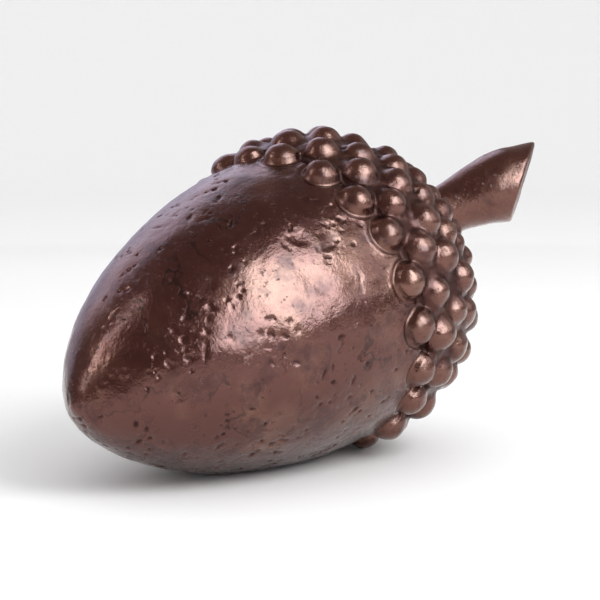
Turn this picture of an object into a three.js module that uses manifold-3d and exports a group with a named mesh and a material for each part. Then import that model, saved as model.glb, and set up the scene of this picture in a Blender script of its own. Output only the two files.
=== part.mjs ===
// A cast metal acorn that lies on its side: a smooth egg-shaped nut, a domed cup covered in
// round studs, and a thick curved stem with a slanting end. It is one solid casting.
//
// Units are millimetres and +Z is up. The origin lies in the flat spot that the nut rests on,
// at the nut's lowest point. The acorn's own axis lies above the X axis, stem towards +X.

import * as THREE from "three";
import { mergeVertices } from "three/addons/utils/BufferGeometryUtils.js";
import Module from "manifold-3d";

const wasm = await Module();
wasm.setup();

// ---- driving dimensions ----

// Places along the acorn's axis are measured from the cup's rim: minus is towards the nut's tip.
const NUT_LENGTH = 154;
const NUT_RADIUS = 75;
const NUT_WIDEST_AT = -12;
const NUT_TIP_BLUNTNESS = 8;
const NUT_SHOULDER = { at: -123.6, radius: 66.4 };
const NUT_NECK = { at: 8, radius: 66 };

// The cup sits a little crooked on the nut: its top leans towards the nut's tip.
const CUP_TILT = THREE.MathUtils.degToRad(3);
const CUP_RADIUS = 78;
const CUP_WIDEST_AT = 4;
const CUP_DEPTH = 69.5;
const CUP_FULLNESS = 0.93;
const CUP_LIP = { at: -5, radius: 66 };
const CUP_LIP_ROUNDING = 4.5;

// Studs are balls sunk a little into the cup. The first row stands on the nut and is bigger.
const STUD_RADIUS = 8.6;
const STUD_SINK = 3.2;
const FRONT_STUD_RADIUS = 9.2;
const FRONT_STUD_SINK = 5;
const STUDS_PER_ROW = 21;
const STUD_ROW_PITCH = 13.6;
const FIRST_STUD_ROW_AT = -5.8;
const FIRST_STUD_TURN = THREE.MathUtils.degToRad(13.3);
const BARE_RADIUS_AT_STEM = 27;
const STUD_TAPER = 0.85;

const STEM_ROOT_RADIUS = 13.5;
const STEM_END_RADIUS = 20.4;
const STEM_ROOT_FLARE = 6;
const STEM_FLARE_SHARES = [0.1, 0.4];
const STEM_SWELL_SHARES = [0.45, 1];
const STEM_CUT_NORMAL = new THREE.Vector3(-0.38, 0.8, 0.44);

// The stem's middle line, from inside the cup to its cut end, as (up, sideways, along the axis).
const STEM_LINE = new THREE.CubicBezierCurve3(
  new THREE.Vector3(0, 0, 62),
  new THREE.Vector3(11, 3, 88),
  new THREE.Vector3(23, 22, 110),
  new THREE.Vector3(20.5, 38, 136.5),
);

const AXIS_PITCH = THREE.MathUtils.degToRad(14.5);
const REST_SPOT_DEPTH = 2.2;

// ---- how finely the curved faces are divided ----

const NUT_BELLY_STEPS = 14;
const NUT_NECK_STEPS = 4;
const NUT_SEGMENTS = 42;
const CUP_SEGMENTS_PER_STUD = 4;
const CUP_STEPS_PER_ROW = 4;
const BALL_SEGMENTS = 8;
const BALL_RINGS = 6;
const STEM_STEPS = 14;
const STEM_SEGMENTS = 20;
const TILT_STEP = 0.002;

// ---- helpers ----

function toSolid(geometry) {
  const bare = geometry.clone();
  bare.deleteAttribute("normal");
  bare.deleteAttribute("uv");
  const merged = mergeVertices(bare, 1e-4);
  const mesh = new wasm.Mesh({
    numProp: 3,
    vertProperties: new Float32Array(merged.attributes.position.array),
    triVerts: new Uint32Array(merged.index.array),
  });
  return new wasm.Manifold(mesh);
}

function toGeometry(solid) {
  const mesh = solid.getMesh();
  const geometry = new THREE.BufferGeometry();
  geometry.setAttribute("position", new THREE.BufferAttribute(mesh.vertProperties, 3));
  geometry.setIndex(new THREE.BufferAttribute(mesh.triVerts, 1));
  geometry.computeVertexNormals();
  return geometry;
}

// A lathe turned about the acorn's axis. An outline point is (radius, place along the axis),
// and the finished solid has the axis along Z.
function turned(outline, segments) {
  const geometry = new THREE.LatheGeometry(outline, segments);
  geometry.rotateX(Math.PI / 2);
  return geometry;
}

// ---- the nut ----

function nutOutline() {
  const belly = new THREE.CubicBezierCurve(
    new THREE.Vector2(0, -NUT_LENGTH),
    new THREE.Vector2(NUT_TIP_BLUNTNESS, -NUT_LENGTH),
    new THREE.Vector2(NUT_SHOULDER.radius, NUT_SHOULDER.at),
    new THREE.Vector2(NUT_RADIUS, NUT_WIDEST_AT),
  );
  const neck = new THREE.CubicBezierCurve(
    new THREE.Vector2(NUT_RADIUS, NUT_WIDEST_AT),
    new THREE.Vector2(NUT_RADIUS, NUT_WIDEST_AT / 3),
    new THREE.Vector2(NUT_NECK.radius + NUT_NECK.at, 0),
    new THREE.Vector2(NUT_NECK.radius, NUT_NECK.at),
  );
  const end = new THREE.Vector2(0, NUT_NECK.at);
  return [...belly.getPoints(NUT_BELLY_STEPS), ...neck.getPoints(NUT_NECK_STEPS).slice(1), end];
}

// ---- the cup ----

function cupPoint(angle) {
  const radius = CUP_RADIUS * Math.cos(angle) ** CUP_FULLNESS;
  const along = CUP_WIDEST_AT + CUP_DEPTH * Math.sin(angle) ** CUP_FULLNESS;
  return new THREE.Vector2(radius, along);
}

// The rows step back along the dome. Both the step and the stud size shrink with the row.
function studRows() {
  const rows = [{ place: new THREE.Vector2(CUP_RADIUS, FIRST_STUD_ROW_AT), tilt: 0, size: 1 }];
  let tilt = 0;
  let place = cupPoint(tilt);
  while (place.x > BARE_RADIUS_AT_STEM) {
    const size = (place.x / CUP_RADIUS) ** STUD_TAPER;
    if (place.distanceTo(rows.at(-1).place) >= STUD_ROW_PITCH * size) {
      rows.push({ place, tilt, size });
    }
    tilt += TILT_STEP;
    place = cupPoint(tilt);
  }
  return rows;
}

// Every second row is turned by half a step, so that the studs sit in the gaps of the last row.
function studsInRow(row, rowIndex) {
  const step = (2 * Math.PI) / STUDS_PER_ROW;
  return Array.from({ length: STUDS_PER_ROW }, (_, index) => {
    const angle = FIRST_STUD_TURN + step * (index + rowIndex / 2);
    const centre = new THREE.Vector3(0, row.place.y, row.place.x);
    centre.applyAxisAngle(new THREE.Vector3(0, 1, 0), angle);
    return { centre, radius: STUD_RADIUS * row.size, sink: STUD_SINK * row.size };
  });
}

// From the frame that cup and studs are made in, with the axis along Y, onto the tilted axis.
function seatCup(geometry) {
  geometry.rotateX(Math.PI / 2);
  geometry.rotateY(CUP_TILT);
  return toSolid(geometry);
}

// The studs of the first row are whole balls that stand on the nut.
function frontStuds() {
  return studsInRow(studRows()[0], 0).map(({ centre }) => {
    const ball = new THREE.SphereGeometry(FRONT_STUD_RADIUS, BALL_SEGMENTS, BALL_RINGS);
    const depth = 1 - FRONT_STUD_SINK / CUP_RADIUS;
    ball.translate(centre.x * depth, centre.y, centre.z * depth);
    return seatCup(ball);
  });
}

// The dome's outline, as the tilts of its surface: a few steps from each row to the next.
function domeTilts() {
  const tilts = studRows().slice(1).map((row) => row.tilt);
  const last = 2 * tilts.at(-1) - tilts.at(-2);
  const ends = [...tilts, last];
  return tilts.flatMap((tilt, index) => Array.from({ length: CUP_STEPS_PER_ROW }, (_, step) => (
    THREE.MathUtils.lerp(tilt, ends[index + 1], step / CUP_STEPS_PER_ROW)
  )));
}

// The cup is turned smooth, then its skin is pushed out where a stud stands.
function cup() {
  const tilts = domeTilts();
  const lip = [
    new THREE.Vector2(0, CUP_LIP.at),
    new THREE.Vector2(CUP_LIP.radius, CUP_LIP.at),
    new THREE.Vector2(CUP_LIP.radius + CUP_LIP_ROUNDING, CUP_LIP.at + CUP_LIP_ROUNDING / 2),
  ];
  const pole = new THREE.Vector2(0, CUP_WIDEST_AT + CUP_DEPTH);
  const collarTilt = (tilts.at(-1) + Math.PI / 2) / 2;
  const outline = [...lip, ...tilts.map(cupPoint), cupPoint(collarTilt), pole];
  const geometry = new THREE.LatheGeometry(outline, CUP_SEGMENTS_PER_STUD * STUDS_PER_ROW);
  const rows = studRows().slice(1);
  const allStuds = rows.flatMap((row, index) => studsInRow(row, index + 1));
  const places = geometry.attributes.position;
  const point = new THREE.Vector3();
  for (let index = 0; index < places.count; index += 1) {
    const ring = (index % outline.length) - lip.length;
    if (ring >= 0 && ring < tilts.length) {
      point.fromBufferAttribute(places, index);
      const outward = new THREE.Vector3(point.x, 0, point.z).normalize();
      outward.multiplyScalar(Math.cos(tilts[ring]));
      outward.y = Math.sin(tilts[ring]);
      const heights = allStuds.map(({ centre, radius, sink }) => (
        Math.sqrt(Math.max(0, radius ** 2 - centre.distanceToSquared(point))) - sink
      ));
      point.addScaledVector(outward, Math.max(0, ...heights));
      places.setXYZ(index, point.x, point.y, point.z);
    }
  }
  return seatCup(geometry);
}

// ---- the stem ----

function stemRadius(share) {
  const swell = THREE.MathUtils.smoothstep(share, ...STEM_SWELL_SHARES);
  const flare = STEM_ROOT_FLARE * (1 - THREE.MathUtils.smoothstep(share, ...STEM_FLARE_SHARES));
  return THREE.MathUtils.lerp(STEM_ROOT_RADIUS, STEM_END_RADIUS, swell) + flare;
}

// A turned rod one unit long, then bent so that its middle follows the stem's line. It runs on
// past the end of the line, where the slanting cut takes the rest off.
function stem() {
  const overrun = 1.35;
  const outline = [new THREE.Vector2(0, 0)];
  for (let step = 0; step <= STEM_STEPS; step += 1) {
    const share = (overrun * step) / STEM_STEPS;
    outline.push(new THREE.Vector2(stemRadius(share), share));
  }
  outline.push(new THREE.Vector2(0, overrun));
  const rod = turned(outline, STEM_SEGMENTS);
  const places = rod.attributes.position;
  for (let index = 0; index < places.count; index += 1) {
    const share = places.getZ(index);
    const inside = Math.min(share, 1);
    const direction = STEM_LINE.getTangent(inside);
    const side = new THREE.Vector3(0, 1, 0).cross(direction).normalize();
    const up = direction.clone().cross(side);
    const point = STEM_LINE.getPoint(inside);
    point.addScaledVector(direction, (share - inside) * STEM_LINE.getLength());
    point.addScaledVector(side, places.getX(index));
    point.addScaledVector(up, places.getY(index));
    places.setXYZ(index, point.x, point.y, point.z);
  }
  const cutSize = 120;
  const cut = new THREE.BoxGeometry(cutSize, cutSize, cutSize);
  cut.translate(0, 0, cutSize / 2);
  const towardsCut = new THREE.Quaternion();
  towardsCut.setFromUnitVectors(new THREE.Vector3(0, 0, 1), STEM_CUT_NORMAL.clone().normalize());
  cut.applyQuaternion(towardsCut);
  const end = STEM_LINE.getPoint(1);
  cut.translate(end.x, end.y, end.z);
  return toSolid(rod).subtract(toSolid(cut));
}

// ---- the casting ----

// The nut's lowest point once the axis is pitched, as (place along X, height).
function lowestPointOfNut() {
  const places = nutOutline().map((point) => new THREE.Vector2(
    point.y * Math.cos(AXIS_PITCH) + point.x * Math.sin(AXIS_PITCH),
    point.y * Math.sin(AXIS_PITCH) - point.x * Math.cos(AXIS_PITCH),
  ));
  return places.reduce((lowest, place) => (place.y < lowest.y ? place : lowest));
}

// From the acorn's own frame (up, sideways, along) to the lying frame, with the pitch that
// brings both the nut and the lowest studs down to the ground.
function lieDown(solid) {
  const geometry = toGeometry(solid);
  const lying = new THREE.Matrix4().makeBasis(
    new THREE.Vector3(0, 0, 1),
    new THREE.Vector3(0, -1, 0),
    new THREE.Vector3(1, 0, 0),
  );
  geometry.applyMatrix4(lying);
  geometry.rotateY(-AXIS_PITCH);
  const lowest = lowestPointOfNut();
  geometry.translate(-lowest.x, 0, -lowest.y - REST_SPOT_DEPTH);
  return toSolid(geometry);
}

function groundCut() {
  const size = 600;
  const ground = new THREE.BoxGeometry(size, size, size);
  ground.translate(0, 0, -size / 2);
  return toSolid(ground);
}

function casting() {
  const nut = toSolid(turned(nutOutline(), NUT_SEGMENTS));
  const pieces = [cup(), stem(), ...frontStuds()];
  const whole = pieces.reduce((sum, piece) => sum.add(piece), nut);
  return toGeometry(lieDown(whole).subtract(groundCut()));
}

const bronze = new THREE.MeshStandardMaterial({
  color: new THREE.Color(0.36, 0.22, 0.18),
  roughness: 0.3,
  metalness: 0.95,
});

const acorn = new THREE.Group();
const acornCasting = new THREE.Mesh(casting(), bronze);
acornCasting.name = "acorn_casting";
acorn.add(acornCasting);

export default acorn;
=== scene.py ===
"""A cast bronze acorn lying on its side, on a pale studio floor.

The casting is one continuous skin. Rough closed bodies of nut, cup, studs and stem are joined by a
voxel remesh, the skin is drawn onto a smooth blend of the same shapes, and dents, casting pits and
grooves are then pressed into it. Shapes are worked out in millimetres in the acorn's own frame
(up, sideways, along the axis) and turned into the part's frame, in metres, at the end.
"""

import math

import bmesh
import bpy
import numpy as np
from mathutils import Matrix, Vector


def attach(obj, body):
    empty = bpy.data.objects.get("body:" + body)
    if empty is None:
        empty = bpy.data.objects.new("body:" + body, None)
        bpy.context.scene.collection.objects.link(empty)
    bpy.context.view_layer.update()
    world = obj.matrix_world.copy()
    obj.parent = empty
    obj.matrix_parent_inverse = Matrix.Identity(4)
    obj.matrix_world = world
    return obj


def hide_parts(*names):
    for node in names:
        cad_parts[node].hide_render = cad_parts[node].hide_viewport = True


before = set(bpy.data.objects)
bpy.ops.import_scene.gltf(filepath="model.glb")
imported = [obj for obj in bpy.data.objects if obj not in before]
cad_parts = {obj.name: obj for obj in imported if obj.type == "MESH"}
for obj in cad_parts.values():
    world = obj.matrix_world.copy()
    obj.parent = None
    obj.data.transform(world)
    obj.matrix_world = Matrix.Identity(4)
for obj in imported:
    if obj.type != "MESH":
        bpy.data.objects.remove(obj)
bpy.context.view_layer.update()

# ---- driving dimensions of the casting, in millimetres, as in the CAD part ----

NUT_LENGTH = 154
NUT_RADIUS = 75
NUT_WIDEST_AT = -12
NUT_TIP_BLUNTNESS = 8
NUT_SHOULDER_AT, NUT_SHOULDER_RADIUS = -123.6, 66.4
NUT_NECK_AT, NUT_NECK_RADIUS = 8, 66

CUP_TILT = math.radians(3)
CUP_RADIUS = 78
CUP_WIDEST_AT = 4
CUP_DEPTH = 69.5
CUP_FULLNESS = 0.93
CUP_LIP_AT, CUP_LIP_RADIUS = -5, 66

STUD_RADIUS, STUD_SINK = 8.6, 3.2
FRONT_STUD_RADIUS, FRONT_STUD_SINK = 9.2, 5
STUDS_PER_ROW = 21
STUD_ROW_PITCH = 13.6
FIRST_STUD_ROW_AT = -5.8
FIRST_STUD_TURN = math.radians(13.3)
BARE_RADIUS_AT_STEM = 27
STUD_TAPER = 0.85

STEM_ROOT_RADIUS = 13.5
STEM_END_RADIUS = 20.4
STEM_ROOT_FLARE = 6
STEM_FLARE_SHARES = (0.1, 0.4)
STEM_SWELL_SHARES = (0.45, 1)
STEM_CUT_DIRECTION = np.array([-0.38, 0.8, 0.44])
STEM_CUT_NORMAL = STEM_CUT_DIRECTION / np.linalg.norm(STEM_CUT_DIRECTION)
STEM_LINE = np.array([[0, 0, 62], [11, 3, 88], [23, 22, 110], [20.5, 38, 136.5]], float)

AXIS_PITCH = math.radians(14.5)
REST_SPOT_DEPTH = 2.2

# ---- how finely the shapes are drawn ----

CUP_LIP_STEPS = 15
CUP_LIP_ROUNDING_FROM = 70
CUP_LIP_ROUNDING_RISE = 2
ALMOST_UPRIGHT = math.pi / 2 - 1e-4
STUD_SEARCH_STEP = 0.002
LATHE_SEGMENTS = 128
STEM_SEGMENTS = 32
STEM_RING_EVERY = 4

# ---- how the skin is finished ----

SKIN_CELL = 0.82
SKIN_TRIANGLES = 196000
SKIN_FITTING_ROUNDS = 3
LONGEST_SKIN_STEP = 1.5
STUD_FILLET = 3.0
STUD_TO_STUD_FILLET = 1.2
NUT_FILLET = 1.2
STEM_FILLET = 9.0
STEM_EDGE_ROUNDING = 1.6
SEED = 7

# How unevenly the studs are set and sized: turns in radians, places in millimetres, sizes in shares.
STUD_TURN_SPREAD = 0.022
STUD_OUTWARD_SPREAD, STUD_ALONG_SPREAD = 0.3, 0.7
STUD_SIZE_SPREAD, STUD_SIZE_LIMIT = 0.05, 0.09

# Waves of the surface: how high and how wide each layer of noise is.
NUT_WAVES = ((0.62, 36), (0.34, 15), (0.14, 7))
CUP_WAVES = ((0.5, 9), (0.1, 4))
STEM_WAVES = ((0.7, 19), (0.16, 8))
CUP_WAVES_LEFT_OUT_ON_STEM = 0.7
CHATTER_HEIGHT, CHATTER_WIDTH, CHATTER_PATCH_WIDTH = 0.13, 2.8, 28
VALLEY_HEIGHT, VALLEY_WIDTH = 0.28, 3

# Marks pressed into the surface. They come in clusters, and a stretch of 1 leaves them round.
DENTS = {"count": 60, "sizes": (3.0, 6.5), "depths": (0.2, 0.6), "stretch": (1.0, 2.0), "cluster": 45}
GOUGES = {"count": 130, "sizes": (0.8, 1.5), "depths": (0.2, 0.5), "stretch": (2.0, 5.0), "cluster": 30}
PITS = {"count": 480, "sizes": (0.7, 1.6), "depths": (0.2, 0.7), "stretch": (1.0, 2.2), "cluster": 24}
CUP_PITS = {"count": 160, "sizes": (0.8, 2.0), "depths": (0.2, 0.6), "stretch": (1.0, 2.0), "cluster": 30}
MARK_WOBBLE, MARK_WOBBLE_WIDTH = 0.45, 2.3
MARK_WALL_SHARES = (0.25, 1.15)
MARK_REACH = 1.8
CLUSTER_RANGE, CLUSTER_SHARPNESS = (-0.35, 0.45), 1.5

# The groove and the low ridge on the nut, along the edge of the cup and its front studs.
EDGE_GROOVE_DEPTH, EDGE_GROOVE_AT = 0.5, 0.7
EDGE_RIDGE_HEIGHT, EDGE_RIDGE_AT = 0.28, 2.6
EDGE_LINE_WIDTH = 0.8


# ---- small helpers on arrays ----

def bezier(corners, share):
    share = np.asarray(share, float)[:, None]
    rest = 1 - share
    return (rest ** 3 * corners[0] + 3 * rest ** 2 * share * corners[1]
            + 3 * rest * share ** 2 * corners[2] + share ** 3 * corners[3])


def smoothstep(value, low, high):
    share = np.clip((value - low) / (high - low), 0, 1)
    return share * share * (3 - 2 * share)


def blend_union(first, second, fillet):
    overlap = np.maximum(fillet - np.abs(first - second), 0) / fillet
    return np.minimum(first, second) - overlap ** 2 * fillet / 4


class Noise:
    """Smooth gradient noise in space, the same each run."""
    DIRECTIONS = 4096
    SHIFT = 37.7
    GAIN = 1.6

    def __init__(self, seed):
        rng = np.random.default_rng(seed)
        directions = rng.normal(size=(self.DIRECTIONS, 3))
        self.directions = directions / np.linalg.norm(directions, axis=1)[:, None]
        self.seed = seed

    def __call__(self, places, cell):
        scaled = places / cell + self.SHIFT
        corner = np.floor(scaled).astype(np.int64)
        part = scaled - corner
        ease = part ** 3 * (part * (part * 6 - 15) + 10)
        total = np.zeros(len(places))
        for step in np.ndindex(2, 2, 2):
            at = corner + step
            key = (at[:, 0] * 73856093) ^ (at[:, 1] * 19349663) ^ (at[:, 2] * 83492791)
            direction = self.directions[(key + self.seed * 7919) % self.DIRECTIONS]
            pull = (direction * (part - step)).sum(1)
            weight = np.prod(np.where(np.array(step) == 1, ease, 1 - ease), axis=1)
            total += pull * weight
        return total * self.GAIN


# ---- shapes: outlines of nut and cup, places of the studs ----

def nut_outline(belly_steps, neck_steps):
    belly = np.array([[0, -NUT_LENGTH], [NUT_TIP_BLUNTNESS, -NUT_LENGTH],
                      [NUT_SHOULDER_RADIUS, NUT_SHOULDER_AT], [NUT_RADIUS, NUT_WIDEST_AT]])
    neck = np.array([[NUT_RADIUS, NUT_WIDEST_AT], [NUT_RADIUS, NUT_WIDEST_AT / 3],
                     [NUT_NECK_RADIUS + NUT_NECK_AT, 0], [NUT_NECK_RADIUS, NUT_NECK_AT]])
    return np.vstack([bezier(belly, np.linspace(0, 1, belly_steps + 1)),
                      bezier(neck, np.linspace(0, 1, neck_steps + 1)[1:])])


def cup_point(tilt):
    return np.array([CUP_RADIUS * math.cos(tilt) ** CUP_FULLNESS,
                     CUP_WIDEST_AT + CUP_DEPTH * math.sin(tilt) ** CUP_FULLNESS])


def cup_outline(points):
    lip = bezier(np.array([[CUP_LIP_RADIUS, CUP_LIP_AT], [CUP_LIP_ROUNDING_FROM, CUP_LIP_AT],
                           [CUP_RADIUS, CUP_LIP_AT + CUP_LIP_ROUNDING_RISE],
                           [CUP_RADIUS, CUP_WIDEST_AT]]),
                 np.linspace(0, 1, CUP_LIP_STEPS + 1)[:-1])
    dome = [cup_point(tilt) for tilt in np.linspace(0, ALMOST_UPRIGHT, points)]
    return np.vstack([lip, dome])


def cup_leant(places):
    """From the cup's own axis to the nut's: the cup sits a little crooked."""
    turn = np.array([[math.cos(CUP_TILT), 0, -math.sin(CUP_TILT)], [0, 1, 0],
                     [math.sin(CUP_TILT), 0, math.cos(CUP_TILT)]])
    return places @ turn


def cup_upright(places):
    turn = np.array([[math.cos(CUP_TILT), 0, math.sin(CUP_TILT)], [0, 1, 0],
                     [-math.sin(CUP_TILT), 0, math.cos(CUP_TILT)]])
    return places @ turn


def stud_rows():
    rows = [(np.array([CUP_RADIUS, FIRST_STUD_ROW_AT]), 0.0, 1.0)]
    tilt = 0.0
    place = cup_point(tilt)
    while place[0] > BARE_RADIUS_AT_STEM:
        size = (place[0] / CUP_RADIUS) ** STUD_TAPER
        if np.linalg.norm(place - rows[-1][0]) >= STUD_ROW_PITCH * size:
            rows.append((place, tilt, size))
        tilt += STUD_SEARCH_STEP
        place = cup_point(tilt)
    return rows


def studs():
    """Each stud's centre and radius. Hand-set studs are never quite in line or alike."""
    rng = np.random.default_rng(SEED)
    step = 2 * math.pi / STUDS_PER_ROW
    centres, radii = [], []
    for row_number, (place, tilt, size) in enumerate(stud_rows()):
        radius, sink = STUD_RADIUS * size, STUD_SINK * size
        if row_number == 0:
            radius, sink = FRONT_STUD_RADIUS, FRONT_STUD_SINK
        inward = sink * np.array([math.cos(tilt), math.sin(tilt)])
        for index in range(STUDS_PER_ROW):
            turn = FIRST_STUD_TURN + step * (index + row_number / 2)
            turn += rng.normal() * STUD_TURN_SPREAD
            spread = [STUD_OUTWARD_SPREAD, STUD_ALONG_SPREAD * size]
            out, along = place - inward + rng.normal(size=2) * spread
            centres.append([out * math.sin(turn), -out * math.cos(turn), along])
            growth = np.clip(rng.normal() * STUD_SIZE_SPREAD, -STUD_SIZE_LIMIT, STUD_SIZE_LIMIT)
            radii.append(radius * (1 + growth))
    return cup_leant(np.array(centres)), np.array(radii)


STUD_CENTRES, STUD_RADII = studs()


def stem_radius(share):
    swell = smoothstep(share, *STEM_SWELL_SHARES)
    flare = STEM_ROOT_FLARE * (1 - smoothstep(share, *STEM_FLARE_SHARES))
    return STEM_ROOT_RADIUS + (STEM_END_RADIUS - STEM_ROOT_RADIUS) * swell + flare


def stem_path(steps, overrun):
    """Points of the stem's middle line, their directions and radii, with a straight overrun."""
    shares = np.linspace(0, 1, steps)
    points = bezier(STEM_LINE, shares)
    length = np.linalg.norm(np.diff(points, axis=0), axis=1).sum()
    extra = np.linspace(0, overrun, steps // 3)[1:]
    end_direction = STEM_LINE[-1] - STEM_LINE[-2]
    end_direction /= np.linalg.norm(end_direction)
    points = np.vstack([points, points[-1] + extra[:, None] * length * end_direction])
    directions = np.gradient(points, axis=0)
    directions /= np.linalg.norm(directions, axis=1)[:, None]
    return points, directions, stem_radius(np.concatenate([shares, 1 + extra]))


# ---- distances to the shapes ----

class TurnedBody:
    """Signed distance to a body turned about the axis, looked up on a grid over its half section."""
    CELL = 0.5
    SIDE_MARGIN, END_MARGIN = 14, 12

    def __init__(self, outline):
        self.low = np.array([0.0, outline[:, 1].min() - self.END_MARGIN])
        high = np.array([outline[:, 0].max() + self.SIDE_MARGIN,
                         outline[:, 1].max() + self.END_MARGIN])
        counts = np.ceil((high - self.low) / self.CELL).astype(int) + 1
        radii = self.low[0] + self.CELL * np.arange(counts[0])
        alongs = self.low[1] + self.CELL * np.arange(counts[1])
        here = np.stack(np.meshgrid(radii, alongs, indexing="ij"), -1).reshape(-1, 2)
        start, stop = outline[:-1], outline[1:]
        edge = stop - start
        nearest = np.full(len(here), np.inf)
        for begin, run in zip(start, edge):
            share = np.clip(((here - begin) @ run) / (run @ run), 0, 1)
            nearest = np.minimum(nearest, ((here - begin - share[:, None] * run) ** 2).sum(1))
        wall = np.interp(here[:, 1], outline[:, 1], outline[:, 0], left=-1, right=-1)
        sign = np.where(here[:, 0] < wall, -1, 1)
        self.table = (sign * np.sqrt(nearest)).reshape(counts)

    def __call__(self, places):
        radius = np.hypot(places[:, 0], places[:, 1])
        at = (np.stack([radius, places[:, 2]], 1) - self.low) / self.CELL
        at = np.clip(at, 0, np.array(self.table.shape) - 1.001)
        corner = at.astype(int)
        part = at - corner
        i, j = corner.T
        near = self.table[i, j] * (1 - part[:, 1]) + self.table[i, j + 1] * part[:, 1]
        far = self.table[i + 1, j] * (1 - part[:, 1]) + self.table[i + 1, j + 1] * part[:, 1]
        return near * (1 - part[:, 0]) + far * part[:, 0]


NUT_BODY = TurnedBody(nut_outline(belly_steps=160, neck_steps=40))
CUP_BODY = TurnedBody(cup_outline(points=120))
STEM_POINTS, STEM_DIRECTIONS, STEM_RADII = stem_path(steps=160, overrun=0.35)
STEM_STEPS = np.linalg.norm(np.gradient(STEM_POINTS, axis=0), axis=1)
STEM_WIDENING = np.gradient(STEM_RADII) / STEM_STEPS
FAR = 50.0
REACH = 30
BATCH = 20000


def batches(chosen):
    """The numbers of the chosen places, a batch at a time, to save memory."""
    numbers = np.flatnonzero(chosen)
    return np.array_split(numbers, max(1, len(numbers) // BATCH))


def stud_distance(places):
    """Distance to the studs. The two nearest are blended; no other matters at any place."""
    result = np.full(len(places), FAR)
    for part in batches(places[:, 2] > FIRST_STUD_ROW_AT - REACH):
        gaps = places[part][:, None, :] - STUD_CENTRES[None]
        to_each = np.sqrt((gaps ** 2).sum(2)) - STUD_RADII
        two = np.partition(to_each, 1, axis=1)[:, :2]
        result[part] = blend_union(two[:, 0], two[:, 1], STUD_TO_STUD_FILLET)
    return result


def stem_distance(places):
    result = np.full(len(places), FAR)
    for part in batches(places[:, 2] > STEM_LINE[0, 2] - REACH):
        gaps = np.sqrt(((places[part][:, None, :] - STEM_POINTS[None]) ** 2).sum(2))
        nearest = gaps.argmin(1)
        across = places[part] - STEM_POINTS[nearest]
        onward = (across * STEM_DIRECTIONS[nearest]).sum(1)
        across -= onward[:, None] * STEM_DIRECTIONS[nearest]
        radius = STEM_RADII[nearest] + STEM_WIDENING[nearest] * onward
        side = np.linalg.norm(across, axis=1) - radius
        past_cut = (places[part] - STEM_LINE[-1]) @ STEM_CUT_NORMAL
        result[part] = -blend_union(-side, -past_cut, STEM_EDGE_ROUNDING)
    return result


def cup_distance(places):
    return CUP_BODY(cup_upright(places))


def casting_distance(places):
    cup = blend_union(cup_distance(places), stud_distance(places), STUD_FILLET)
    body = blend_union(cup, NUT_BODY(places), NUT_FILLET)
    return blend_union(body, stem_distance(places), STEM_FILLET)


# ---- the rough bodies that are joined into one skin ----

def add_lathe(mesh, outline, segments, placed=lambda places: places):
    rings = [[] for _ in outline]
    for number, (radius, along) in enumerate(outline):
        turns = segments if radius > 0.01 else 1
        for index in range(turns):
            angle = 2 * math.pi * index / segments
            place = np.array([radius * math.cos(angle), radius * math.sin(angle), along])
            rings[number].append(mesh.verts.new(placed(place)))
    join_rings(mesh, rings, segments)


def join_rings(mesh, rings, segments):
    for lower, upper in zip(rings, rings[1:]):
        for index in range(segments):
            corners = [ring[i % len(ring)] for ring, i in
                       ((lower, index), (lower, index + 1), (upper, index + 1), (upper, index))]
            mesh.faces.new(list(dict.fromkeys(corners)))


def add_stem(mesh):
    rings = [[mesh.verts.new(STEM_POINTS[0])]]
    stations = list(zip(STEM_POINTS, STEM_DIRECTIONS, STEM_RADII))
    for point, direction, radius in stations[::STEM_RING_EVERY]:
        side = np.cross([1.0, 0.0, 0.0], direction)
        side /= np.linalg.norm(side)
        other = np.cross(direction, side)
        ring = []
        for index in range(STEM_SEGMENTS):
            angle = 2 * math.pi * index / STEM_SEGMENTS
            place = point + radius * (math.cos(angle) * side + math.sin(angle) * other)
            past = (place - STEM_LINE[-1]) @ STEM_CUT_NORMAL
            if past > 0:
                place = place - direction * past / (direction @ STEM_CUT_NORMAL)
            ring.append(mesh.verts.new(place))
        rings.append(ring)
    rings.append([mesh.verts.new(STEM_LINE[-1])])
    join_rings(mesh, rings, STEM_SEGMENTS)


def rough_casting():
    mesh = bmesh.new()
    nut = nut_outline(belly_steps=80, neck_steps=8)
    add_lathe(mesh, np.vstack([nut, [0, NUT_NECK_AT]]), LATHE_SEGMENTS)
    cup = cup_outline(points=60)[:-1]
    pole = [0, CUP_WIDEST_AT + CUP_DEPTH]
    add_lathe(mesh, np.vstack([[0, CUP_LIP_AT], cup, pole]), LATHE_SEGMENTS, cup_leant)
    for centre, radius in zip(STUD_CENTRES, STUD_RADII):
        bmesh.ops.create_icosphere(mesh, subdivisions=3, radius=radius,
                                   matrix=Matrix.Translation(Vector(centre)))
    add_stem(mesh)
    bmesh.ops.recalc_face_normals(mesh, faces=mesh.faces)
    data = bpy.data.meshes.new("rough_casting")
    mesh.to_mesh(data)
    mesh.free()
    return data


def modified(data, kind, settings):
    """The mesh after one modifier with the given settings."""
    carrier = bpy.data.objects.new("carrier", data)
    bpy.context.scene.collection.objects.link(carrier)
    modifier = carrier.modifiers.new("change", kind)
    for name, value in settings.items():
        setattr(modifier, name, value)
    graph = bpy.context.evaluated_depsgraph_get()
    changed = bpy.data.meshes.new_from_object(carrier.evaluated_get(graph))
    bpy.data.objects.remove(carrier)
    return changed


def remeshed(data, cell):
    return modified(data, "REMESH", {"mode": "VOXEL", "voxel_size": cell, "adaptivity": 0})


def thinned(data, triangles):
    """Fewer triangles where the skin is smooth, so that the part stays light."""
    share = triangles / (2 * len(data.polygons))
    if share >= 1:
        return data
    return modified(data, "DECIMATE", {"ratio": share})


def read_places(data):
    places = np.empty(len(data.vertices) * 3)
    data.vertices.foreach_get("co", places)
    return places.reshape(-1, 3)


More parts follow.
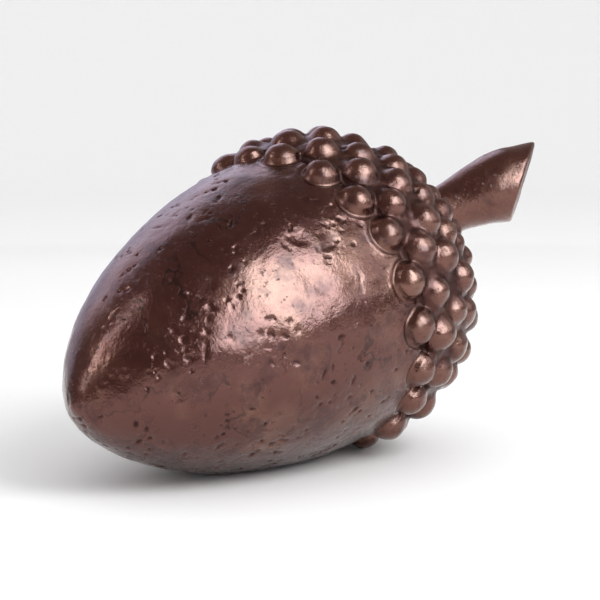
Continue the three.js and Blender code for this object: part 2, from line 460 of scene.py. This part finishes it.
def write_places(data, places):
    data.vertices.foreach_set("co", places.ravel())
    data.update()


def read_normals(data):
    normals = np.empty(len(data.vertices) * 3)
    data.vertices.foreach_get("normal", normals)
    return normals.reshape(-1, 3)


def relaxed(data, places, rounds):
    """Evens out the spacing of the vertices: each moves half way to its neighbours' middle."""
    ends = np.empty(len(data.edges) * 2, dtype=np.int64)
    data.edges.foreach_get("vertices", ends)
    first, second = ends.reshape(-1, 2).T
    count = np.bincount(ends, minlength=len(places))[:, None]
    for _ in range(rounds):
        total = np.zeros_like(places)
        for axis in range(3):
            total[:, axis] = (np.bincount(first, places[second, axis], len(places))
                              + np.bincount(second, places[first, axis], len(places)))
        places = places + 0.5 * (total / count - places)
    return places


# ---- the hand-worked surface ----

def waves(noise, places, layers):
    return sum(height * noise(places, width) for height, width in layers)


def pressed_marks(places, region, rng, count, sizes, depths, stretch, cluster):
    """How deep round or long marks are pressed in, for each place. Marks lie where region is set."""
    depth = np.zeros(len(places))
    patch = Noise(SEED + 40)
    candidates = np.flatnonzero(region)
    centres = []
    while len(centres) < count:
        index = candidates[rng.integers(len(candidates))]
        here = smoothstep(patch(places[index][None], cluster)[0], *CLUSTER_RANGE)
        if rng.random() < here ** CLUSTER_SHARPNESS:
            centres.append(places[index])
    wobble = Noise(SEED + 50)(places, MARK_WOBBLE_WIDTH)
    for centre in centres:
        size = rng.uniform(*sizes)
        long_way = rng.normal(size=3)
        long_way /= np.linalg.norm(long_way)
        pull = rng.uniform(*stretch)
        press = rng.uniform(*depths)
        reach = size * pull * MARK_REACH
        near = np.flatnonzero(np.abs(places - centre).max(1) < reach)
        offset = places[near] - centre
        lengthwise = offset @ long_way
        squared = (offset ** 2).sum(1) - lengthwise ** 2 * (1 - 1 / pull ** 2)
        gap = np.sqrt(np.maximum(squared, 0)) / size * (1 + MARK_WOBBLE * wobble[near])
        depth[near] = np.maximum(depth[near], press * (1 - smoothstep(gap, *MARK_WALL_SHARES)))
    return depth


def edge_line(gap, at):
    return np.exp(-((gap - at) / EDGE_LINE_WIDTH) ** 2)


def worked_surface(places):
    """Height to add along the normal, how dark the pits, the valleys between the studs and the edge
    groove are painted (patina and painted shade), and how raised each place is, 0 to 1.
    """
    rng = np.random.default_rng(SEED)
    to_nut, to_cup = NUT_BODY(places), cup_distance(places)
    to_studs, to_stem = stud_distance(places), stem_distance(places)
    others = np.minimum(np.minimum(to_cup, to_studs), to_stem)
    on_nut = smoothstep(others - np.abs(to_nut), 0.2, 2.0)
    on_stem = smoothstep(np.minimum(to_cup, to_studs) - np.abs(to_stem), 0, 6)
    on_stud = smoothstep(np.minimum(to_cup, to_stem) - np.abs(to_studs), 0.2, 2.0) * (1 - on_nut)
    valley = (1 - on_nut) * (1 - on_stud) * (1 - on_stem)
    noise = Noise(SEED)
    chatter_patches = smoothstep(noise(places, CHATTER_PATCH_WIDTH), -0.25, 0.5)
    chatter = chatter_patches * CHATTER_HEIGHT * noise(places, CHATTER_WIDTH)
    height = on_nut * (waves(noise, places, NUT_WAVES) + chatter)
    bumpy = (1 - on_nut) * (1 - CUP_WAVES_LEFT_OUT_ON_STEM * on_stem)
    height += bumpy * waves(noise, places, CUP_WAVES)
    height += valley * VALLEY_HEIGHT * noise(places, VALLEY_WIDTH)
    height += on_stem * waves(noise, places, STEM_WAVES)

    smooth_nut = on_nut > 0.9
    dents = pressed_marks(places, smooth_nut, rng, **DENTS)
    gouges = pressed_marks(places, smooth_nut, rng, **GOUGES)
    pits = pressed_marks(places, smooth_nut, rng, **PITS)
    cup_pits = pressed_marks(places, valley > 0.5, rng, **CUP_PITS)
    marks = np.maximum(np.maximum(pits, gouges), cup_pits)
    near_nut = (np.abs(to_nut) < 2.5) * (1 - on_stem)
    to_edge = np.minimum(to_studs, to_cup)
    groove = EDGE_GROOVE_DEPTH * edge_line(to_edge, EDGE_GROOVE_AT) * near_nut
    ridge = EDGE_RIDGE_HEIGHT * edge_line(to_edge, EDGE_RIDGE_AT) * near_nut
    height += ridge - groove - marks - dents

    # Painted shade in the valleys between the studs and in the groove along the cup's edge; in the pits,
    # darker patina with painted shade.
    painted_crevice_shade = valley * smoothstep(to_stem, 2, 8)
    recess_patina_and_shade = np.clip(1.2 * marks + 0.5 * painted_crevice_shade + 0.6 * groove, 0, 1)
    raised = np.maximum(on_stud * smoothstep(to_cup, 0.5, 4), 0.7 * on_stem)
    return height, recess_patina_and_shade, raised


def lowest_point_of_nut():
    outline = nut_outline(belly_steps=14, neck_steps=4)
    lengthwise = outline[:, 1] * math.cos(AXIS_PITCH) + outline[:, 0] * math.sin(AXIS_PITCH)
    height = outline[:, 1] * math.sin(AXIS_PITCH) - outline[:, 0] * math.cos(AXIS_PITCH)
    lowest = height.argmin()
    return lengthwise[lowest], height[lowest]


# Where the middle of the cup's rim lies in the part's frame, in metres, and the acorn's own axes.
REST_X, REST_Z = lowest_point_of_nut()
RIM_CENTRE = np.array([-REST_X, 0, -REST_Z - REST_SPOT_DEPTH]) / 1000
UP = np.array([-math.sin(AXIS_PITCH), 0, math.cos(AXIS_PITCH)])
SIDEWAYS = np.array([0.0, -1.0, 0.0])
ALONG = np.array([math.cos(AXIS_PITCH), 0, math.sin(AXIS_PITCH)])


def lying_down(places):
    """From the acorn's own frame in millimetres to the part's frame in metres, cut by the ground."""
    lying = RIM_CENTRE + places @ np.stack([UP, SIDEWAYS, ALONG]) / 1000
    lying[:, 2] = np.maximum(lying[:, 2], 0)
    return lying


def casting_skin():
    data = remeshed(rough_casting(), SKIN_CELL)
    places = read_places(data)
    for _ in range(SKIN_FITTING_ROUNDS):
        places = relaxed(data, places, rounds=2)
        write_places(data, places)
        gap = np.clip(casting_distance(places), -LONGEST_SKIN_STEP, LONGEST_SKIN_STEP)
        places = places - read_normals(data) * gap[:, None]
        write_places(data, places)
    height, recess_patina_and_shade, raised = worked_surface(places)
    places = places + read_normals(data) * height[:, None]
    write_places(data, lying_down(places))
    for name, values in (("recess_patina_and_shade", recess_patina_and_shade), ("raised", raised)):
        data.attributes.new(name, "FLOAT", "POINT").data.foreach_set("value", values)
    data = thinned(data, SKIN_TRIANGLES)
    data.shade_smooth()
    return data


# ---- materials ----

def new_material(name):
    material = bpy.data.materials.new(name)
    material.use_nodes = True
    return material, material.node_tree.nodes, material.node_tree.links


def add_noise(nodes, links, source, scale, detail, roughness=0.55):
    node = nodes.new("ShaderNodeTexNoise")
    node.inputs["Scale"].default_value = scale
    node.inputs["Detail"].default_value = detail
    node.inputs["Roughness"].default_value = roughness
    links.new(source.outputs["Object"], node.inputs["Vector"])
    return node.outputs["Fac"]


def add_range(nodes, links, value, from_low, from_high, to_low, to_high):
    node = nodes.new("ShaderNodeMapRange")
    node.inputs["From Min"].default_value = from_low
    node.inputs["From Max"].default_value = from_high
    node.inputs["To Min"].default_value = to_low
    node.inputs["To Max"].default_value = to_high
    links.new(value, node.inputs["Value"])
    return node.outputs["Result"]


def add_mix(nodes, links, share, first, second):
    node = nodes.new("ShaderNodeMix")
    node.data_type = "RGBA"
    links.new(share, node.inputs["Factor"])
    for value, socket in ((first, node.inputs["A"]), (second, node.inputs["B"])):
        if isinstance(value, tuple):
            socket.default_value = value
        else:
            links.new(value, socket)
    return node.outputs["Result"]


def add_scaled(nodes, links, value, factor, addend):
    node = nodes.new("ShaderNodeMath")
    node.operation = "MULTIPLY_ADD"
    node.inputs[1].default_value = factor
    links.new(value, node.inputs[0])
    links.new(addend, node.inputs[2])
    return node.outputs["Value"]


def add_product(nodes, links, first, second):
    node = nodes.new("ShaderNodeMath")
    node.operation = "MULTIPLY"
    links.new(first, node.inputs[0])
    links.new(second, node.inputs[1])
    return node.outputs["Value"]


def add_veins(nodes, links, places, raised):
    """Thin curled casting seams, where a coarse noise passes its middle, in a few patches."""
    lines = add_noise(nodes, links, places, 42, 3)
    line = nodes.new("ShaderNodeMath")
    line.operation = "COMPARE"
    line.inputs[1].default_value = 0.5
    line.inputs[2].default_value = 0.014
    links.new(lines, line.inputs[0])
    patches = add_noise(nodes, links, places, 24, 2)
    shown = add_range(nodes, links, patches, 0.54, 0.62, 0, 0.6)
    on_nut = add_range(nodes, links, raised.outputs["Fac"], 0, 0.5, 1, 0)
    seen = add_product(nodes, links, line.outputs["Value"], shown)
    return add_product(nodes, links, seen, on_nut)


BRONZE = (0.114, 0.040, 0.031, 1)
BRONZE_RUBBED = (0.21, 0.098, 0.068, 1)
BRONZE_BLOTCH = (0.062, 0.020, 0.018, 1)
# Dark patina for specks and seams, also painted as shade into the pits, the valleys between the studs and
# the edge groove.
DARK_PATINA_AND_SHADE = (0.022, 0.010, 0.009, 1)


def bronze_patina():
    """Dark brown patinated bronze under a thin wax: rubbed brighter in places; the pits, the valleys
    between the studs and the edge groove get darker patina and painted shade.
    """
    material, nodes, links = new_material("bronze_patina")
    shader = nodes["Principled BSDF"]
    places = nodes.new("ShaderNodeTexCoord")
    recess_patina_and_shade = nodes.new("ShaderNodeAttribute")
    recess_patina_and_shade.attribute_name = "recess_patina_and_shade"
    raised = nodes.new("ShaderNodeAttribute")
    raised.attribute_name = "raised"

    clouds = add_noise(nodes, links, places, 38, 5)
    blotches = add_noise(nodes, links, places, 85, 6, 0.62)
    specks = add_noise(nodes, links, places, 420, 4, 0.6)
    grain = add_noise(nodes, links, places, 900, 3, 0.6)

    rubbed = add_range(nodes, links, clouds, 0.48, 0.72, 0, 0.75)
    colour = add_mix(nodes, links, rubbed, BRONZE, BRONZE_RUBBED)
    worn = add_range(nodes, links, raised.outputs["Fac"], 0, 1, 0, 0.4)
    colour = add_mix(nodes, links, worn, colour, BRONZE_RUBBED)
    darker = add_range(nodes, links, blotches, 0.54, 0.68, 0, 0.8)
    colour = add_mix(nodes, links, darker, colour, BRONZE_BLOTCH)
    dots = add_range(nodes, links, specks, 0.62, 0.72, 0, 0.6)
    colour = add_mix(nodes, links, dots, colour, DARK_PATINA_AND_SHADE)
    veins = add_veins(nodes, links, places, raised)
    colour = add_mix(nodes, links, veins, colour, DARK_PATINA_AND_SHADE)
    # Painted shade, with darker patina, in the pits, the valleys between the studs and the groove along
    # the cup's edge.
    patina_and_shade_share = add_range(nodes, links, recess_patina_and_shade.outputs["Fac"], 0.1, 0.9, 0, 0.9)
    colour = add_mix(nodes, links, patina_and_shade_share, colour, DARK_PATINA_AND_SHADE)
    links.new(colour, shader.inputs["Base Color"])

    gloss = add_range(nodes, links, blotches, 0.35, 0.7, 0.18, 0.34)
    gloss = add_scaled(nodes, links, patina_and_shade_share, 0.35, gloss)
    gloss = add_scaled(nodes, links, raised.outputs["Fac"], 0.03, gloss)
    links.new(gloss, shader.inputs["Roughness"])
    shader.inputs["Metallic"].default_value = 0.95
    # The coat is thinned in the same painted-shade places, so that they stay dark.
    links.new(add_range(nodes, links, patina_and_shade_share, 0, 0.6, 0.75, 0.1), shader.inputs["Coat Weight"])
    shader.inputs["Coat Roughness"].default_value = 0.14
    shader.inputs["Coat IOR"].default_value = 1.4

    relief = add_scaled(nodes, links, grain, 0.4, specks)
    relief = add_scaled(nodes, links, dots, -1.2, relief)
    relief = add_scaled(nodes, links, veins, -1.5, relief)
    bump = nodes.new("ShaderNodeBump")
    bump.inputs["Strength"].default_value = 0.35
    bump.inputs["Distance"].default_value = 0.0006
    links.new(relief, bump.inputs["Height"])
    links.new(bump.outputs["Normal"], shader.inputs["Normal"])
    links.new(bump.outputs["Normal"], shader.inputs["Coat Normal"])
    return material


def plain_material(name, colour, roughness):
    material, nodes, _ = new_material(name)
    shader = nodes["Principled BSDF"]
    shader.inputs["Base Color"].default_value = colour
    shader.inputs["Roughness"].default_value = roughness
    return material


def glowing_material(name, colour, strength):
    material, nodes, links = new_material(name)
    nodes.remove(nodes["Principled BSDF"])
    glow = nodes.new("ShaderNodeEmission")
    glow.inputs["Color"].default_value = colour
    glow.inputs["Strength"].default_value = strength
    links.new(glow.outputs["Emission"], nodes["Material Output"].inputs["Surface"])
    return material


# ---- camera ----

# The view is taken from the tip's side. Turns in the studio are counted clockwise, seen from
# above, from the way the camera looks.
VIEW_HEADING = math.radians(43.83)
VIEW_ELEVATION = math.radians(6.71)
VIEW_DISTANCE = 0.7588
LENS = 91
VIEW_TARGET = Vector(RIM_CENTRE) + Vector((-0.0035, 0.0033, -0.0022))


def direction(turn, elevation):
    heading = VIEW_HEADING - math.radians(turn)
    rise = math.radians(elevation)
    flat = math.cos(rise)
    return Vector((math.cos(heading) * flat, math.sin(heading) * flat, math.sin(rise)))


def add_camera():
    data = bpy.data.cameras.new("camera")
    data.lens = LENS
    data.sensor_width = 36
    data.clip_start = 0.02
    data.clip_end = 30
    camera = bpy.data.objects.new("camera", data)
    bpy.context.scene.collection.objects.link(camera)
    back = -direction(0, -math.degrees(VIEW_ELEVATION))
    camera.location = VIEW_TARGET + back * VIEW_DISTANCE
    camera.rotation_euler = (-back).to_track_quat("-Z", "Y").to_euler()
    bpy.context.scene.camera = camera


# ---- studio ----

STUDIO_CENTRE = Vector((0, 0, 0.08))
CARD_STEPS = 16
FLOOR_RADIUS, FLOOR_BEND, WALL_TOP = 2.6, 1.2, 2.6
BEND_STEPS = 12
STAGE_SEGMENTS = 96
SURROUND_RADIUS = 1.35
SURROUND_ABOVE_FLOOR = 0.004
COOL_WHITE = (0.85, 0.95, 1.0, 1)
LILAC_WHITE = (0.86, 0.80, 1.0, 1)
WARM_WHITE = (1.0, 0.90, 0.88, 1)
BLUE_WHITE = (0.78, 1.0, 1.08, 1)


def link_stage(name, mesh, material):
    data = bpy.data.meshes.new(name)
    mesh.to_mesh(data)
    mesh.free()
    data.shade_smooth()
    data.materials.append(material)
    piece = bpy.data.objects.new(name, data)
    bpy.context.scene.collection.objects.link(piece)
    return piece


def seen_only_in_reflections(piece):
    piece.visible_camera = False
    piece.visible_diffuse = False
    piece.visible_shadow = False
    piece.visible_transmission = False


def add_card(name, turns, elevations, distance, colour, strength):
    """A curved glowing panel round the acorn, between two turns and two elevations in degrees."""
    mesh = bmesh.new()
    rows = []
    for up in range(CARD_STEPS + 1):
        elevation = elevations[0] + (elevations[1] - elevations[0]) * up / CARD_STEPS
        row = []
        for across in range(CARD_STEPS + 1):
            turn = turns[0] + (turns[1] - turns[0]) * across / CARD_STEPS
            row.append(mesh.verts.new(STUDIO_CENTRE + distance * direction(turn, elevation)))
        rows.append(row)
    for lower, upper in zip(rows, rows[1:]):
        for index in range(CARD_STEPS):
            mesh.faces.new((lower[index], lower[index + 1], upper[index + 1], upper[index]))
    card = link_stage(name, mesh, glowing_material(name, colour, strength))
    seen_only_in_reflections(card)


def add_lathe_stage(name, outline, material):
    mesh = bmesh.new()
    add_lathe(mesh, np.array(outline, float), STAGE_SEGMENTS)
    return link_stage(name, mesh, material)


def add_floor():
    """A pale floor that sweeps up into a wall all round, so that no horizon shows."""
    outline = [(0, 0), (0.4, 0), (1.2, 0), (FLOOR_RADIUS, 0)]
    for step in range(1, BEND_STEPS + 1):
        angle = step / BEND_STEPS * math.pi / 2
        outline.append((FLOOR_RADIUS + FLOOR_BEND * math.sin(angle),
                        FLOOR_BEND * (1 - math.cos(angle))))
    outline.append((FLOOR_RADIUS + FLOOR_BEND, WALL_TOP))
    add_lathe_stage("floor", outline, plain_material("pale_floor", (0.9, 0.9, 0.9, 1), 0.9))


def add_dark_surround():
    """A dim reddish dome, which only reflections see, as a studio hangs cloth round shiny metal."""
    outline = [(SURROUND_RADIUS * math.cos(rise),
                SURROUND_RADIUS * math.sin(rise) + SURROUND_ABOVE_FLOOR)
               for rise in np.linspace(0, 1.56, 20)]
    surround = add_lathe_stage("dark_surround", outline + [(0, SURROUND_RADIUS)],
                               glowing_material("dark_flag", (1.0, 0.74, 0.70, 1), 0.28))
    seen_only_in_reflections(surround)


def add_area_light(name, turn, elevation, distance, size, power, colour):
    data = bpy.data.lights.new(name, "AREA")
    data.shape = "RECTANGLE"
    data.size, data.size_y = size
    data.energy = power
    data.color = colour
    light = bpy.data.objects.new(name, data)
    bpy.context.scene.collection.objects.link(light)
    away = direction(turn, elevation)
    light.location = STUDIO_CENTRE + away * distance
    light.rotation_euler = away.to_track_quat("Z", "Y").to_euler()
    light.visible_camera = False
    light.visible_glossy = False


def add_studio():
    add_floor()
    add_dark_surround()
    add_card("softbox", (118, 158), (8, 58), 1.0, BLUE_WHITE, 9.0)
    add_card("strip", (86, 108), (12, 44), 1.05, COOL_WHITE, 2.6)
    add_card("left_strip", (-114, -107), (14, 50), 1.1, COOL_WHITE, 9.0)
    add_card("backdrop_low", (-62, 4), (-2, 20), 1.2, LILAC_WHITE, 0.65)
    add_card("backdrop_high", (-62, 4), (20, 50), 1.2, LILAC_WHITE, 1.25)
    add_card("right_card", (38, 84), (2, 46), 1.2, WARM_WHITE, 0.5)
    add_area_light("key", 122, 40, 1.6, (0.9, 0.9), 16, (1, 1, 1))
    world = bpy.data.worlds.new("studio")
    world.use_nodes = True
    world.node_tree.nodes["Background"].inputs["Color"].default_value = (1, 1, 1, 1)
    world.node_tree.nodes["Background"].inputs["Strength"].default_value = 1.0
    bpy.context.scene.world = world
    bpy.context.scene.view_settings.view_transform = "Standard"


# ---- the acorn ----

add_camera()
acorn = bpy.data.objects.new("acorn_skin", casting_skin())
bpy.context.scene.collection.objects.link(acorn)
acorn.data.materials.append(bronze_patina())
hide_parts("acorn_casting")
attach(acorn, "root")
add_studio()
